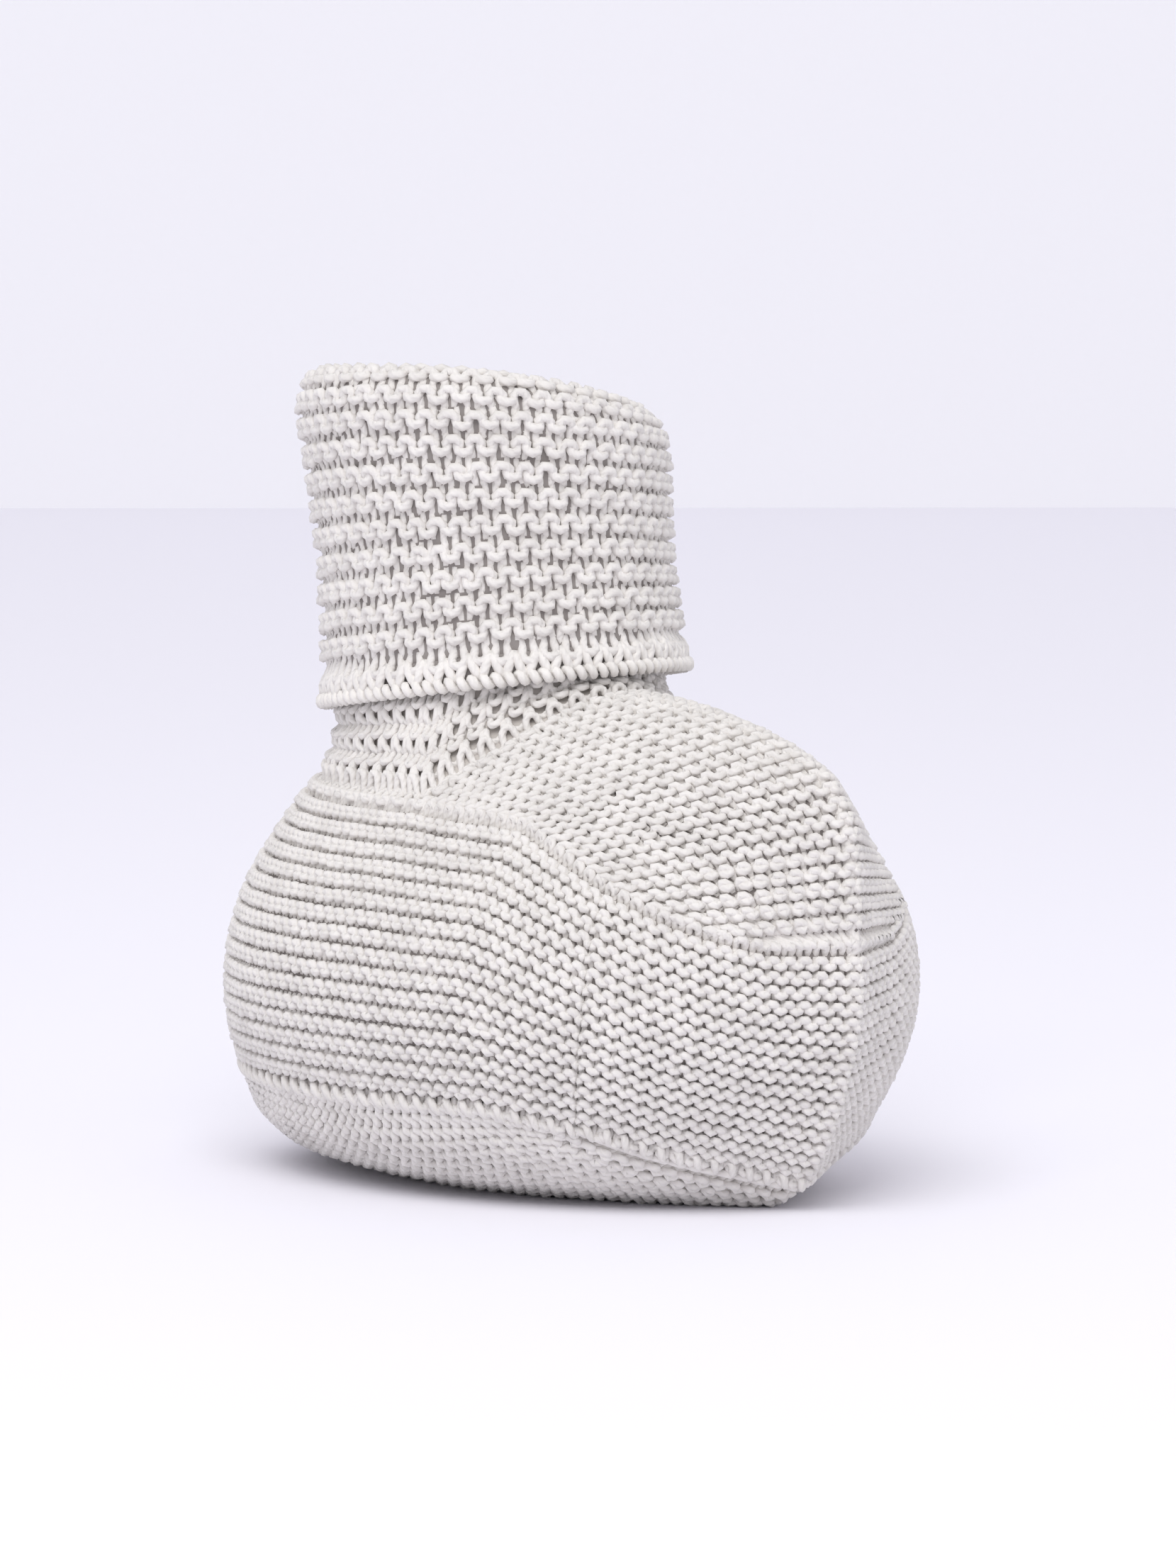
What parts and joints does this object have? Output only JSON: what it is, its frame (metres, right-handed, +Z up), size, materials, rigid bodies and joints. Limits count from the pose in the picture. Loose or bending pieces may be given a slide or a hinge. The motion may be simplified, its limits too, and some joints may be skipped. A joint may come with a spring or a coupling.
{
  "type": "baby bootie",
  "caption": "Knitted baby bootie in garter stitch with a rounded foot, an instep flap, an eyelet ankle band and a turned-down cuff.",
  "frame": {"origin": "on the ground, under the middle of the bootie's box", "axes": "+X towards the toe, +Y to the wearer's left, +Z up"},
  "size_m": [0.0919, 0.064, 0.0865],
  "materials": {
    "garter_knit": "matt cotton yarn in garter stitch, warm light grey",
    "joining_yarn": "the same matt cotton yarn, sewn as joins",
    "cast_off_edge": "the same matt cotton yarn, cast off in a plaited edge"
  },
  "bodies": {
    "foot": {"sole_panel": "garter_knit", "side_wall": "garter_knit", "instep_flap": "garter_knit", "ankle_band": "garter_knit", "sole_join_yarn": "joining_yarn", "flap_join_yarn_left": "joining_yarn", "flap_join_yarn_right": "joining_yarn", "heel_seam_yarn": "joining_yarn"},
    "leg": {"leg_tube": "garter_knit", "leg_seam_yarn": "joining_yarn", "ankle_join_yarn": "joining_yarn"},
    "cuff": {"cuff": "garter_knit", "cuff_edge": "cast_off_edge", "cuff_seam_yarn": "joining_yarn"}
  },
  "joints": [
    {"name": "ankle_flex", "type": "hinge", "parent": "foot", "child": "leg", "pos_m": [-0.0095, 0, 0.05], "axis": [0, 1, 0], "range_deg": [-10, 5], "stiffness_Nm_per_rad": 0.03, "deforming": ["ankle_band"]},
    {"name": "cuff_turn_up", "type": "slide", "parent": "leg", "child": "cuff", "axis": [-0.1045, 0, 0.9945], "range_m": [0, 0.022]}
  ]
}
